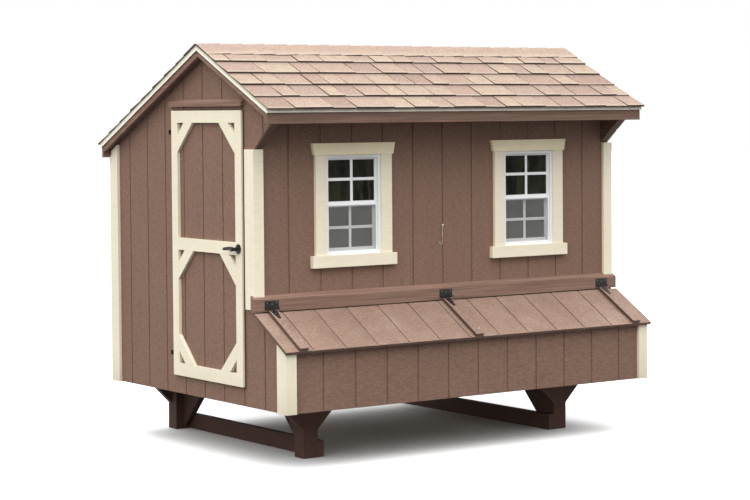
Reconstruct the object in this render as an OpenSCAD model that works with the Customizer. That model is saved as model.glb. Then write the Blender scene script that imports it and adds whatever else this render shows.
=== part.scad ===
// Raised wooden hen house, 8 ft long by 5 ft deep, with a full-length nest box.
// Millimetres. +X along the length, +Y to the back wall, +Z up, ground at Z = 0.

/* [Body] */
// length over the siding
body_l = 2438; // [2000:1:3000]
// depth over the siding
body_d = 1524; // [1200:1:1800]
// height of the siding bottom above ground
sill_z = 300; // [150:1:450]
// siding panel thickness
sid_t = 16; // [10:1:19]
// groove spacing of the siding
groove_p = 203.2; // [100:0.1:305]
// groove width
groove_w = 10; // [4:0.5:14]
// groove depth
groove_d = 5; // [2:0.5:8]
// trim board thickness
trim_t = 19; // [12:1:25]
// trim board visible width
trim_w = 64; // [45:1:95]

/* [Roof] */
// deck top at the ridge
ridge_z = 2212; // [1900:1:2400]
// ridge distance from the front wall
ridge_y = 471; // [300:1:762]
// rise per unit of run
pitch = 0.4885; // [0.3:0.0005:0.8]
// front overhang to the fascia face
over_f = 220; // [100:1:300]
// back overhang to the fascia face
over_b = 38; // [30:1:120]
// gable overhang to the rake board face
over_s = 57; // [50:1:120]
// deck thickness square to the slope
deck_t = 12; // [9:1:19]
// rafter depth square to the slope
raf_d = 64; // [50:1:140]
// shingle course run measured level
course = 129; // [100:1:150]

/* [Nest box] */
// nest box depth over its siding
nest_d = 300; // [250:1:400]
// lid slope in degrees
lid_a = 30.5; // [20:0.1:40]
// lid top at its back edge
lid_z = 802.4; // [700:0.1:900]
// lid length down the slope
lid_len = 350.5; // [300:0.5:420]
// lid side overhang past the siding
lid_o = 31; // [15:1:60]

/* [Door] */
// door front edge
door_y0 = 99.5; // [95:0.5:120]
// door back edge
door_y1 = 827; // [700:0.5:900]
// door bottom
door_z0 = 402; // [390:1:450]
// door top
door_z1 = 1860; // [1700:1:1900]

/* [Windows] */
// left window edge
win_a = 443; // [380:1:500]
// right window edge of the second unit start
win_b = 1654; // [1500:1:1750]
// window width over the flange
win_w = 356; // [300:1:420]
// window bottom
win_z0 = 1079; // [1000:1:1150]
// window top
win_z1 = 1618; // [1500:1:1680]

/* [Base] */
// post size
post = 89; // [75:1:100]
// left post outer face
leg_x0 = 315; // [200:1:500]
// right post outer face
leg_x1 = 2139; // [1900:1:2300]
// front post front face
leg_y0 = 32; // [20:1:120]
// back post back face
leg_y1 = 1472; // [1300:1:1500]

/* [Hidden] */
ox = body_l/2;
g = 0.3;                     // hairline joint between neighbouring boards
e = 0.01;
cr = 1/sqrt(1+pitch*pitch);
vd = deck_t/cr;              // vertical deck thickness
vr = raf_d/cr;               // vertical rafter depth
vq = vd + 0.05;              // top of what carries the deck
vu = vq + vr;                // underside of the rafters
in_x0 = sid_t; in_x1 = body_l - sid_t;
in_y0 = sid_t; in_y1 = body_d - sid_t;
deck_z = sill_z + 101;       // top of the floor deck
yf = -over_f; yb = body_d + over_b;
bars = [443, 1654];
hx = [76, 1217, 2354];       // hinge and batten centres
ca = cos(lid_a); sa = sin(lid_a);
pin_s = -4.56; pin_n = 23.5;
hook_x = 1220; hook_z = 1217;
dm = 1130;                   // middle rail and lever height
oy = (LP(lid_len-2,19)[0] + body_d + over_b + 26)/2;

// ---- helpers ----
function T(y) = ridge_z - pitch*abs(y - ridge_y);
function LP(s, n) = [-38 - s*ca - n*sa, lid_z - s*sa + n*ca];   // point on the lid section
function lidu(y) = lid_z + (y + 38)*tan(lid_a) - 16/ca;          // lid underside height
pin_yz = LP(pin_s, pin_n);
module fr() { translate([-ox, -oy, 0]) children(); }
module bx(x0,x1,y0,y1,z0,z1) { translate([x0,y0,z0]) cube([x1-x0, y1-y0, z1-z0]); }
module yz(x0,x1,p) { translate([x0,0,0]) rotate([90,0,90]) linear_extrude(x1-x0) polygon(p); }
module xz(y0,y1,p) { translate([0,y1,0]) rotate([90,0,0]) linear_extrude(y1-y0) polygon(p); }
module xcyl(x0,x1,y,z,r) { translate([x0,y,z]) rotate([0,90,0]) cylinder(h=x1-x0, r=r, $fn=48); }
module ycyl(x,y0,y1,z,r) { translate([x,y1,z]) rotate([90,0,0]) cylinder(h=y1-y0, r=r, $fn=48); }
module zcyl(x,y,z0,z1,r) { translate([x,y,z0]) cylinder(h=z1-z0, r=r, $fn=48); }
// band that follows the roof, a..b measured straight down from the deck top
module roofband(x0,x1,y0,y1,a,b) {
  yz(x0,x1, concat([[y0,T(y0)-b]], (y0<ridge_y && y1>ridge_y) ? [[ridge_y,ridge_z-b]] : [], [[y1,T(y1)-b],[y1,T(y1)-a]],
     (y0<ridge_y && y1>ridge_y) ? [[ridge_y,ridge_z-a]] : [], [[y0,T(y0)-a]]));
}

// ---- base ----
module posts() { color([0.26,0.19,0.16]) fr() for (x=[leg_x0, leg_x1-post]) for (y=[leg_y0, leg_y1-post])
  bx(x, x+post, y, y+post, 0, sill_z); }
module runners() { color([0.26,0.19,0.16]) fr() {
  bx(leg_x0+post, leg_x0+post+38, leg_y0, leg_y1, 0, 89);
  bx(leg_x1-post-38, leg_x1-post, leg_y0, leg_y1, 0, 89); } }
module leg_braces() { color([0.24,0.18,0.15]) fr() {
  // knees in the depth direction, one per post
  for (x=[leg_x0+post-38, leg_x1-post]) {
    yz(x, x+38, [[leg_y0+post,12],[leg_y0+post+278,sill_z],[leg_y0+post,sill_z]]);
    yz(x, x+38, [[leg_y1-post,12],[leg_y1-post,sill_z],[leg_y1-post-278,sill_z]]);
  }
  // short corner pieces along the length, both sides of every post
  for (y=[leg_y0, leg_y1-38]) for (x=[leg_x0, leg_x1-post]) {
    xz(y, y+38, [[x,sill_z-150],[x,sill_z],[x-150,sill_z]]);
    xz(y, y+38, [[x+post,sill_z-150],[x+post+150,sill_z],[x+post,sill_z]]);
  } } }
module floor_frame() { color([0.80,0.66,0.46]) fr() {
  bx(in_x0,in_x1,in_y0,in_y0+38,sill_z,sill_z+89);
  bx(in_x0,in_x1,in_y1-38,in_y1,sill_z,sill_z+89);
  for (x=[in_x0, 360, 760, 1200, 1640, 2044, in_x1-38]) bx(x,x+38,in_y0+38+g,in_y1-38-g,sill_z,sill_z+89); } }
module floor_deck() { color([0.78,0.64,0.44]) fr() bx(in_x0,in_x1,in_y0,in_y1,sill_z+89,deck_z); }

// ---- wall frames ----
module frame_front() { color([0.80,0.66,0.46]) fr() {
  y0=in_y0; y1=in_y0+38; hz=790;
  bx(in_x0,in_x1,y0,y1,deck_z,deck_z+38);
  for (x=[in_x0, 392, 800, 1187, 1603, 2011, in_x1-64]) {
    w = x==392||x==800||x==1603||x==2011 ? 40 : 64;
    bx(x,x+w,y0,y1,deck_z+38+g,hz-g);
    bx(x,x+w,y0,y1,hz+66+g,1858-g);
  }
  bx(in_x0,in_x1,y0,y1,hz,hz+66);
  for (x=[432,1643]) {
    bx(x+g,x+(x==432?368:368)-g,y0,y1,win_z0-42,win_z0-3);
    bx(x+g,x+368-g,y0,y1,win_z1+3,win_z1+45); }
  yz(in_x0,in_x1,[[y0,1858],[y1,1858],[y1,T(y1)-vu-0.05],[y0,T(y0)-vu-0.05]]);
} }
module frame_back() { color([0.80,0.66,0.46]) fr() {
  y0=in_y1-38; y1=in_y1;
  bx(in_x0,in_x1,y0,y1,deck_z,deck_z+38);
  for (x=[in_x0, 420, 820, 1220, 1672, 2014, in_x1-64]) bx(x,x+64,y0,y1,deck_z+38+g,1588-g);
  bx(1736+g,2014-g,y0,y1,760,824);
  yz(in_x0,in_x1,[[y0,1588],[y1,1588],[y1,T(y1)-vu-0.05],[y0,T(y0)-vu-0.05]]);
} }
module stud(x,y,z0,w=64) {  // stud with its top cut to the rafter slope
  yz(x,x+38,[[y,z0],[y+w,z0],[y+w,T(y+w)-vu-g],[y,T(y)-vu-g]]); }
module frame_gables() { color([0.80,0.66,0.46]) fr() {
  y0=in_y0+38+g; y1=in_y1-38-g; zp=deck_z+38+g;
  ya=door_y0-5; yc=door_y1+4;
  // door wall
  x=in_x0;
  bx(x,x+38,y0,ya,deck_z,1866-g);
  bx(x,x+38,yc,yc+64,zp,1866-g);
  bx(x,x+38,y0,yc+64,1866,1904);
  stud(x,1230,zp); stud(x,y1-64,zp);
  bx(x,x+38,yc,y1,deck_z,deck_z+38);
  // perch rails, one under each end of every perch
  for (p=[[960,700],[1130,900]]) bx(x,x+38,p[0],p[0]+(p[1]==700?160:96),p[1]-38,p[1]);
  // far wall
  x2=in_x1-38;
  for (y=[y0,420,820,1230,y1-64]) stud(x2,y,zp);
  bx(x2,x2+38,y0,y1,deck_z,deck_z+38);
  for (p=[[960,700],[1130,900]]) bx(x2,x2+38,p[0],p[0]+(p[1]==700?160:96),p[1]-38,p[1]);
} }
// ---- siding ----
module gable_sheet(x0) {
  yz(x0,x0+sid_t,[[0,sill_z],[body_d,sill_z],[body_d,T(body_d)-vq],[ridge_y,ridge_z-vq],[-182,T(-182)-vq],[-182,1788],[-160,1788],[0,1656]]);
}
module groove_yz(x0,x1,zt) { for (k=[1:8]) { y=1536.2-groove_p*k; bx(x0,x1,y-groove_w/2,y+groove_w/2,sill_z-1,zt); } }
module siding_left() { color([0.50,0.39,0.34]) fr() { ya=door_y0-5; yc=door_y1+3; zt=door_z1+3;
  difference() {
    gable_sheet(0);
    bx(-1,sid_t+1,ya,yc,sill_z-1,zt);
    // sheet joints beside and under the doorway
    bx(-1,sid_t+1,ya-g/2,ya+g/2,sill_z-1,2400);
    bx(-1,sid_t+1,yc-g/2,yc+g/2,sill_z-1,2400);
    groove_yz(-1,groove_d,2300);
  }
  difference() {
    bx(0,sid_t,ya+g/2,yc-g/2,sill_z,door_z0-2);
    groove_yz(-1,groove_d,2300);
  }
} }
module siding_right() { color([0.50,0.39,0.34]) fr() difference() {
  gable_sheet(body_l-sid_t);
  for (k=[1:8]) { y=1536.2-groove_p*k; bx(body_l-groove_d,body_l+1,y-groove_w/2,y+groove_w/2,sill_z-1,2300); }
} }
module siding_front() { color([0.50,0.39,0.34]) fr() difference() {
  bx(in_x0,in_x1,0,sid_t,806,1893);
  for (x=bars) {
    bx(x+7,x+win_w-7,-1,sid_t+1,win_z0+7,win_z1-7);
    for (q=[x+7,x+win_w-7]) bx(q-g/2,q+g/2,-1,sid_t+1,800,1900);
  }
  for (k=[1:11]) { x=6.5+groove_p*k; bx(x-groove_w/2,x+groove_w/2,-1,groove_d,800,1900); }
} }
module siding_back() { color([0.50,0.39,0.34]) fr() difference() {
  bx(in_x0,in_x1,in_y1,body_d,sill_z,1612);
  bx(1750,2000,in_y1-1,body_d+1,deck_z,731);
  for (q=[1750,2000]) bx(q-g/2,q+g/2,in_y1-1,body_d+1,sill_z-1,1620);
  for (k=[1:11]) { x=6.5+groove_p*k; bx(x-groove_w/2,x+groove_w/2,body_d-groove_d,body_d+1,sill_z-1,1620); }
} }
// ---- nest box ----
module nest_front() { color([0.50,0.39,0.34]) fr() difference() {
  yz(0,body_l,[[-nest_d,sill_z],[-nest_d+sid_t,sill_z],[-nest_d+sid_t,lidu(-nest_d+sid_t)-0.8],[-nest_d,lidu(-nest_d)-0.8]]);
  for (k=[1:11]) { x=17.2+groove_p*k; bx(x-groove_w/2,x+groove_w/2,-nest_d-1,-nest_d+groove_d,sill_z-1,700); }
} }
module nest_sides() { color([0.50,0.39,0.34]) fr() for (x=[0,body_l-sid_t]) difference() {
  yz(x,x+sid_t,[[-nest_d+sid_t,sill_z],[0,sill_z],[0,805],[-30,805],[-30,lidu(-30)-0.8],[-nest_d+sid_t,lidu(-nest_d+sid_t)-0.8]]);
  y=1536.2-groove_p*8;
  if (x==0) bx(-1,groove_d,y-groove_w/2,y+groove_w/2,sill_z-1,900);
  else bx(body_l-groove_d,body_l+1,y-groove_w/2,y+groove_w/2,sill_z-1,900);
} }
module nest_frame() { color([0.80,0.66,0.46]) fr() {
  bx(in_x0,in_x1,-nest_d+sid_t,-nest_d+sid_t+38,sill_z,sill_z+38);
  bx(in_x0,in_x1,-22,in_y0,sill_z,sill_z+38);
  for (x=[in_x0, 800, 1600, in_x1-38]) bx(x,x+38,-nest_d+sid_t+38+g,-22-g,sill_z,sill_z+38);
} }
module nest_floor() { color([0.78,0.64,0.44]) fr() bx(in_x0,in_x1,-nest_d+sid_t,in_y0,sill_z+38,sill_z+50); }
module nest_dividers() { color([0.78,0.64,0.44]) fr() for (k=[1:7]) {
  x=in_x0+k*(in_x1-in_x0)/8-6;
  yz(x,x+12,[[-nest_d+sid_t,sill_z+50],[in_y0,sill_z+50],[in_y0,760],[-37,760],[-nest_d+sid_t,lidu(-nest_d+sid_t)-8]]);
} }
module ledger() { color([0.50,0.39,0.34]) fr() yz(-lid_o,body_l+lid_o,[[-38,806],[0,806],[0,893],[-38,873]]); }

// ---- corner boards ----
module corner_trims() { color([0.91,0.88,0.80]) fr() {
  lt=893-20*19/38;   // height on the ledger top at the board face
  for (m=[0,1]) translate([m*body_l,0,0]) mirror([m,0,0]) {
    // front corner: side board and lapping front board
    union() {
      bx(-trim_t,0,g,70,816,1655);
      yz(-trim_t,trim_w-trim_t,[[-trim_t,lt+0.1],[0,893.1],[0,1655],[-trim_t,1655]]);
    }
    // back corner
    union() {
      yz(-trim_t,0,[[body_d-70,sill_z],[body_d,sill_z],[body_d,T(body_d)-57/cr-1],[body_d-70,T(body_d-70)-57/cr-1]]);
      bx(-trim_t,trim_w-trim_t,body_d+g,body_d+trim_t,sill_z,T(body_d+trim_t)-vu-1);
    }
    // nest box corner
    union() {
      yz(-trim_t,0,[[-nest_d+g,sill_z],[-nest_d+70,sill_z],[-nest_d+70,lidu(-nest_d+70)-0.8],[-nest_d+g,lidu(-nest_d+g)-0.8]]);
      yz(-trim_t,trim_w-trim_t,[[-nest_d-trim_t,sill_z],[-nest_d,sill_z],[-nest_d,lidu(-nest_d)-0.8],[-nest_d-trim_t,lidu(-nest_d-trim_t)-0.8]]);
    }
  } } }

// ---- roof ----
module roof_deck() { color([0.78,0.64,0.44]) fr() {
  roofband(-over_s,body_l+over_s,yf,ridge_y-0.5,0,vd);
  roofband(-over_s,body_l+over_s,ridge_y+0.5,yb,0,vd); } }
module rafters() { color([0.80,0.66,0.46]) fr() {
  for (x=[in_x0, 600, 1200, 1800, in_x1-38]) {
    roofband(x,x+38,-182,ridge_y-9.5-g,vq,vu);
    roofband(x,x+38,ridge_y+9.5+g,yb-19,vq,vu);
  }
  bx(in_x0,in_x1,ridge_y-9.5,ridge_y+9.5,ridge_z-vu,T(ridge_y-9.5)-vq);
} }
module overhang_blocks() { color([0.50,0.39,0.34]) fr() for (m=[0,1]) translate([m*body_l,0,0]) mirror([m,0,0]) {
  roofband(-38,0,-182,ridge_y-g/2,vq,50/cr);
  roofband(-38,0,ridge_y+g/2,yb-19,vq,50/cr);
  // filled bracket under the front overhang
  yz(sid_t,sid_t+38,[[0,1656],[-160,1788],[-182,1788],[-182,T(-182)-vu-0.05],[0,T(0)-vu-0.05]]);
} }
module rake_boards() { color([0.50,0.39,0.34]) fr() for (x=[-over_s, body_l+38]) {
  roofband(x,x+19,-182,ridge_y-g/2,vq,57/cr);
  roofband(x,x+19,ridge_y+g/2,yb-19,vq,57/cr);
} }
module fascias() { color([0.50,0.39,0.34]) fr() {
  yz(-over_s,body_l+over_s,[[yf,1788],[-182-0.05,1788],[-182-0.05,T(-182)-vq],[yf,T(yf)-vq]]);
  yz(-over_s,body_l+over_s,[[yb-19+0.05,T(yb)-vu],[yb,T(yb)-vu],[yb,T(yb)-vq],[yb-19+0.05,T(yb-19)-vq]]);
} }
module soffit() { color([0.50,0.39,0.34]) fr() bx(54,body_l-54,-182,0,1788,1797); }
module drip_edge() { color([0.90,0.88,0.83]) fr() union() {
  a=7; // stand-off of the metal face
  // eaves
  bx(-over_s-a,body_l+over_s+a,yf-a,yf-a+1.5,T(yf)-28,T(yf-a)-0.4);
  bx(-over_s-a,body_l+over_s+a,yf-a,yf,T(yf-a)-3,T(yf-a)-1);
  bx(-over_s-a,body_l+over_s+a,yb+a-1.5,yb+a,T(yb)-28,T(yb+a)-0.4);
  bx(-over_s-a,body_l+over_s+a,yb,yb+a,T(yb+a)-3,T(yb+a)-1);
  // rakes
  for (m=[0,1]) translate([m*body_l,0,0]) mirror([m,0,0]) {
    roofband(-over_s-a,-over_s-a+1.5,yf-a,yb+a,0,29);
    roofband(-over_s-a,-over_s,yf-a,yb+a,0,2);
  }
} }
// stepped run of shingle courses, y list runs from the eave up
function steps(y0,dir,n) = [for (k=[0:n-1]) y0+dir*course*k];
module shingle_run(y0,dir,n,yt) {
  s=steps(y0,dir,n);
  lo=0.6; 
  top=concat([for (k=[0:n-1]) each [[s[k], T(s[k])+ (k==0?7:7)+lo], [(k<n-1?s[k+1]:yt)-dir*0, T(k<n-1?s[k+1]:yt)+3+lo]]]);
  yz(-over_s-13, body_l+over_s+13, concat([[y0,T(y0)+lo]], top, [[yt,T(yt)+lo]]));
}
module shingles_front() { color([0.80,0.66,0.55]) fr() shingle_run(-246,1,5,ridge_y-0.5); }
module shingles_back() { color([0.80,0.66,0.55]) fr() shingle_run(1588,-1,9,ridge_y+0.5); }
module ridge_cap() { color([0.80,0.66,0.55]) fr() {
  roofband(-over_s-13,body_l+over_s+13,ridge_y-126,ridge_y-0.1,-15,-8);
  roofband(-over_s-13,body_l+over_s+13,ridge_y+0.1,ridge_y+126,-15,-8);
} }
// ---- door ----
module door_panel() { color([0.50,0.39,0.34]) fr() difference() {
  bx(0,sid_t,door_y0,door_y1,door_z0,door_z1);
  for (k=[4:6]) { y=1536.2-groove_p*k; bx(-1,groove_d,y-groove_w/2,y+groove_w/2,door_z0-1,door_z1+1); }
  // spindle hole
  xcyl(-1,sid_t+1,132,dm,6);
} }
module door_trim() { color([0.91,0.88,0.80]) fr() difference() {
  union() {
    bx(-trim_t,0,door_y0,door_y0+trim_w,door_z0,door_z1);
    bx(-trim_t,0,door_y1-trim_w,door_y1,door_z0,door_z1);
    for (z=[door_z0, dm-33, door_z1-66]) bx(-trim_t,0,door_y0+trim_w+g,door_y1-trim_w-g,z,z+(z==door_z0?68:66));
  }
  xcyl(-trim_t-1,1,132,dm,6);
} }
module brace(y,z,sy,sz) { // corner at y,z running inwards
  translate([-trim_t,0,0]) rotate([90,0,90]) linear_extrude(trim_t)
    polygon([[y+sy*68,z],[y+sy*162,z],[y,z+sz*162],[y,z+sz*68]]);
}
module door_braces() { color([0.91,0.88,0.80]) fr() {
  ya=door_y0+trim_w+g; yc=door_y1-trim_w-g;
  brace(ya,door_z1-66-g,1,-1); brace(yc,door_z1-66-g,-1,-1);
  brace(ya,dm-33-g,1,-1); brace(yc,dm-33-g,-1,-1);
  brace(ya,door_z0+68+g,1,1); brace(yc,door_z0+68+g,-1,1);
} }
module door_backer() { color([0.80,0.66,0.46]) fr() difference() {
  union() {
    for (y=[door_y0+3,door_y1-73]) bx(sid_t,sid_t+19,y,y+70,door_z0+2,door_z1-2);
    for (z=[door_z0+2,dm-35,door_z1-72]) bx(sid_t,sid_t+19,door_y0+73+g,door_y1-73-g,z,z+70);
  }
  xcyl(sid_t-1,sid_t+20,132,dm,6);
} }
module door_lock() { color([0.10,0.10,0.10]) fr() difference() {
  bx(35,59,104,168,dm-38,dm+38);
  bx(38,56,100,150,dm-8,dm+8);
  xcyl(34,60,132,dm,6);
} }
module door_bolt() { color([0.72,0.70,0.66]) fr() bx(38.5,55.5,97,115,dm-7.5,dm+7.5); }
module door_rose() { color([0.06,0.06,0.06]) fr() difference() {
  xcyl(-trim_t-7,-trim_t,132,dm,26);
  xcyl(-trim_t-8,-trim_t+1,132,dm,6);
} }
module door_lever() { color([0.06,0.06,0.06]) fr() union() {
  xcyl(-66,55,132,dm,5.5);
  xcyl(-66,-trim_t-7.3,132,dm,10);
  translate([-66,132,dm]) rotate([0,90,0]) cylinder(h=14,r=11,$fn=48);
  translate([-66,132,dm-9]) cube([14,96,18]);
  translate([-59,228,dm]) rotate([0,90,0]) translate([0,0,-7]) cylinder(h=14,r=9,$fn=48);
} }
module hinge_wall() { color([0.06,0.06,0.06]) fr() for (z=[1742,520]) {
  union() {
    bx(-2,0,836.5,884,z-12,z+12);
    for (q=[-12,4.2]) difference() {
      union() { zcyl(-4.6,832.4,z+q,z+q+7.8,4.2); bx(-2.6,-0.6,832.4,838,z+q,z+q+7.8); }
    }
    zcyl(-4.6,832.4,z-12,z+12,2);
  } } }
module hinge_door() { color([0.06,0.06,0.06]) fr() for (z=[1742,520]) difference() {
  union() {
    zcyl(-4.6,832.4,z-3.8,z+3.8,4.2);
    bx(-6.6,-4.6,827,832.4,z-3.8,z+3.8);
    bx(-18,-4.6,827,828,z-11.5,z+11.5);
  }
  zcyl(-4.6,832.4,z-20,z+20,2.06);
} }
module drip_cap() { color([0.50,0.39,0.34]) fr() xz(90,842,[[0,1881],[-25,1881],[-25,1906],[0,1920]]); }

// ---- windows ----
module window_casings() { color([0.91,0.88,0.80]) fr() for (x=bars) {
  c=x+win_w/2;
  bx(x-71,x-g,-trim_t,0,win_z0+3+g,win_z1-g);
  bx(x+win_w+g,x+win_w+71,-trim_t,0,win_z0+3+g,win_z1-g);
  xz(-trim_t-3,0,[[c-258,win_z1],[c+258,win_z1],[c+270,win_z1+63],[c-270,win_z1+63]]);
  xz(-trim_t-9,0,[[c-275,win_z0-61],[c+275,win_z0-61],[c+275,win_z0+3],[c-275,win_z0+3]]);
} }
module win_ring(x,m,y0,y1,z0,z1,x0,x1) { // ring inset by m
  difference() { bx(x0,x1,y0,y1,z0,z1); bx(x0+m,x1-m,y0-1,y1+1,z0+m,z1-m); } }
module window_frames() { color([0.95,0.95,0.94]) fr() for (x=bars) union() {
  xa=x+7.5; xb=x+win_w-7.5; za=win_z0+7.5; zb=win_z1-7.5;
  difference() { bx(x,x+win_w,-9,0,win_z0+3,win_z1); bx(x+15.5,x+win_w-15.5,-10,1,win_z0+15.5,win_z1-15.5); }
  win_ring(x,8,-1,46,za,zb,xa,xb);
  // fixed upper light with its bars
  difference() {
    bx(xa+7,xb-7,8,20,1338,zb-7);
    bx(xa+20,xb-20,7,21,1368,zb-20);
  }
  bx(x+win_w/2-8,x+win_w/2+8,8,11,1360,zb-7);
  bx(xa+7,xb-7,8,11,1478,1494);
  // inner stop
  difference() { bx(xa+7,xb-7,38.5,46,za+7,zb-7); bx(xa+15,xb-15,37,47,za+15,zb-15); }
} }
module upper_glass() { color([0.10,0.13,0.12]) fr() for (x=bars) bx(x+27.7,x+win_w-27.7,13,15.5,1368.2,win_z1-27.7); }
module sash(x) { fr() union() {
  xa=x+16.2; xb=x+win_w-16.2;
  difference() { bx(xa,xb,24,36,win_z0+16,1360); bx(xa+14,xb-14,23,37,win_z0+40,1338); }
  bx(x+win_w/2-8,x+win_w/2+8,24,27,win_z0+30,1345);
  bx(xa+5,xb-5,24,27,1219,1235);
  // finger pull on the inside
  bx(x+win_w/2-40,x+win_w/2+40,36,42,win_z0+28,win_z0+34);
} }
module sash_l() { color([0.95,0.95,0.94]) sash(bars[0]); }
module sash_r() { color([0.95,0.95,0.94]) sash(bars[1]); }
module sglass(x) { fr() bx(x+30.4,x+win_w-30.4,29,31.5,win_z0+40.2,1337.8); }
module sash_glass_l() { color([0.10,0.13,0.12]) sglass(bars[0]); }
module sash_glass_r() { color([0.10,0.13,0.12]) sglass(bars[1]); }
module screen_frames() { color([0.95,0.95,0.94]) fr() for (x=bars) difference() {
  bx(x+16,x+win_w-16,0.5,6,win_z0+16,1352);
  bx(x+24,x+win_w-24,-1,7,win_z0+24,1344);
} }
module screens() { color([0.45,0.46,0.46]) fr() for (x=bars) bx(x+24.1,x+win_w-24.1,2.6,3.4,win_z0+24.1,1343.9); }

// ---- lid ----
module slab(x0,x1,s0,s1,n0,n1) { yz(x0,x1,[LP(s0,n0),LP(s1,n0),LP(s1,n1),LP(s0,n1)]); }
module lid_panel() { color([0.62,0.50,0.44]) fr() difference() {
  slab(-lid_o,body_l+lid_o,2.5,lid_len,-16,0);
  for (k=[0:11]) { x=138+groove_p*k; slab(x-groove_w/2,x+groove_w/2,-5,lid_len+5,-groove_d+1,1); }
} }
module lid_battens() { color([0.62,0.50,0.44]) fr() for (x=hx) slab(x-27,x+27,6,lid_len-2,0.05,19); }
module lid_hinge_plates() { color([0.06,0.06,0.06]) fr() for (x=hx) union() {
  bx(x-43,x+43,-40,-38,829,864);
  for (q=[-43,15.5]) {
    xcyl(x+q,x+q+27.5,pin_yz[0],pin_yz[1],4.4);
    yz(x+q,x+q+27.5,[[-38,824],[-38,832],[-40,832],[pin_yz[0]+1,pin_yz[1]+3.5],[pin_yz[0],pin_yz[1]-1]]);
  }
  xcyl(x-43,x+43,pin_yz[0],pin_yz[1],2.4);
} }
module lid_hinge_straps() { color([0.06,0.06,0.06]) fr() for (x=hx) difference() {
  union() {
    xcyl(x-15.2,x+15.2,pin_yz[0],pin_yz[1],4.4);
    slab(x-15.2,x+15.2,pin_s,10,19.05,21.5);
    translate([x,LP(6,19.05)[0],LP(6,19.05)[1]]) rotate([lid_a,0,0])
      linear_extrude(2.45) polygon([[-22,0],[22,0],[20,-6],[8,-70],[5,-75],[-5,-75],[-8,-70],[-20,-6]]);
  }
  xcyl(x-16,x+16,pin_yz[0],pin_yz[1],2.46);
} }
module lid_eye() { color([0.75,0.76,0.78]) fr() {
  p=LP(318,19.05);
  translate([hook_x,p[0],p[1]]) rotate([lid_a,0,0]) union() {
    cylinder(h=8,r=1.8,$fn=32);
    cylinder(h=1.2,r=4.5,$fn=32);
    translate([0,0,14]) rotate([0,90,0]) rotate_extrude($fn=48) translate([7,0]) circle(r=1.8,$fn=24);
  } } }
module hook_staple() { color([0.75,0.76,0.78]) fr() union() {
  ycyl(hook_x,-11,0,hook_z,2.4);
  ycyl(hook_x,-13,-10.5,hook_z,5);
  ycyl(hook_x,-1.5,0,hook_z,5);
} }
module hook() { color([0.75,0.76,0.78]) fr() translate([hook_x,-6.5,hook_z]) rotate([90,0,0]) union() {
  rotate_extrude($fn=48) translate([4.35,0]) circle(r=1.8,$fn=24);
  translate([0,-5,0]) rotate([90,0,0]) cylinder(h=92,r=1.8,$fn=24);
  translate([-9,-97,0]) rotate([0,0,180]) rotate_extrude(angle=180,$fn=48) translate([9,0]) circle(r=1.8,$fn=24);
  translate([-18,-97,0]) rotate([-90,0,0]) cylinder(h=6,r=1.8,$fn=24);
} }

// ---- hen door in the back wall ----
module pop_door() { color([0.50,0.39,0.34]) fr() union() {
  bx(1731,2019,body_d+1,body_d+13,deck_z+1,deck_z+361);
  bx(1855,1895,body_d+13,body_d+31,deck_z+60,deck_z+84);
} }
module pop_guides() { color([0.91,0.88,0.80]) fr() {
  for (m=[0,1]) translate([m*3750,0,0]) mirror([m,0,0]) {
    bx(1709,1730,body_d,body_d+14,deck_z-20,deck_z+720);
    bx(1709,1744,body_d+14+g,body_d+20,deck_z-20,deck_z+720);
  }
  bx(1732,2018,body_d,body_d+14,deck_z-20,deck_z-0.5);
} }
// ---- perches ----
module roosts() { color([0.80,0.66,0.46]) fr()
  for (p=[[1010,700],[1146,900]]) bx(in_x0+0.5,in_x1-0.5,p[0],p[0]+64,p[1],p[1]+38); }
posts();
runners();
leg_braces();
floor_frame();
floor_deck();
frame_front();
frame_back();
frame_gables();
siding_front();
siding_back();
siding_left();
siding_right();
nest_front();
nest_sides();
nest_frame();
nest_floor();
nest_dividers();
ledger();
corner_trims();
roof_deck();
rafters();
shingles_front();
shingles_back();
ridge_cap();
drip_edge();
fascias();
rake_boards();
overhang_blocks();
soffit();
door_panel();
door_trim();
door_braces();
door_backer();
door_lock();
door_bolt();
door_rose();
door_lever();
hinge_wall();
hinge_door();
drip_cap();
window_casings();
window_frames();
upper_glass();
sash_l();
sash_r();
sash_glass_l();
sash_glass_r();
screens();
screen_frames();
lid_panel();
lid_battens();
lid_hinge_plates();
lid_hinge_straps();
lid_eye();
hook_staple();
hook();
pop_door();
pop_guides();
roosts();
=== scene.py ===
import math
import random

import bpy
import numpy as np
from mathutils import Matrix, Vector


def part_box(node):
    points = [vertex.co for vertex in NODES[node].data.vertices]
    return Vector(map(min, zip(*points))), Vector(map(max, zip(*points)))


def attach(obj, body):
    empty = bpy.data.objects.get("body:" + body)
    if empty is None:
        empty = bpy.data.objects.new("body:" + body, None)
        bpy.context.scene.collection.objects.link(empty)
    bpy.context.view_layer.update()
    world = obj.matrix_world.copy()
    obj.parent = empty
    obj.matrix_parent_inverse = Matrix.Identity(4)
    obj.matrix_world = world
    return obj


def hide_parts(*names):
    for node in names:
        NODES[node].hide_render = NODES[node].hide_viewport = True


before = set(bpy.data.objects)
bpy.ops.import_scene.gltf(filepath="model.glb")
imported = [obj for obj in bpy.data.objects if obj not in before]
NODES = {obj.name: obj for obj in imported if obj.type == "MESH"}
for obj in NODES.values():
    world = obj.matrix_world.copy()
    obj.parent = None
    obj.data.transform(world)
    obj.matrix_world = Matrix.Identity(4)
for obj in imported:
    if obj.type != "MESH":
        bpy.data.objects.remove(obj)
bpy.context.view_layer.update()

# ---------------------------------------------------------------- frame helpers
_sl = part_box("siding_left")
OX, OY = -_sl[0][0], 1.524 - _sl[1][1]      # the house corner, metres
RIDGE_Y, RIDGE_Z, PITCH = 0.471, 2.212, 0.4885
COURSE = 0.129
X0, X1 = -0.070, 2.508                       # shingle ends


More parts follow.
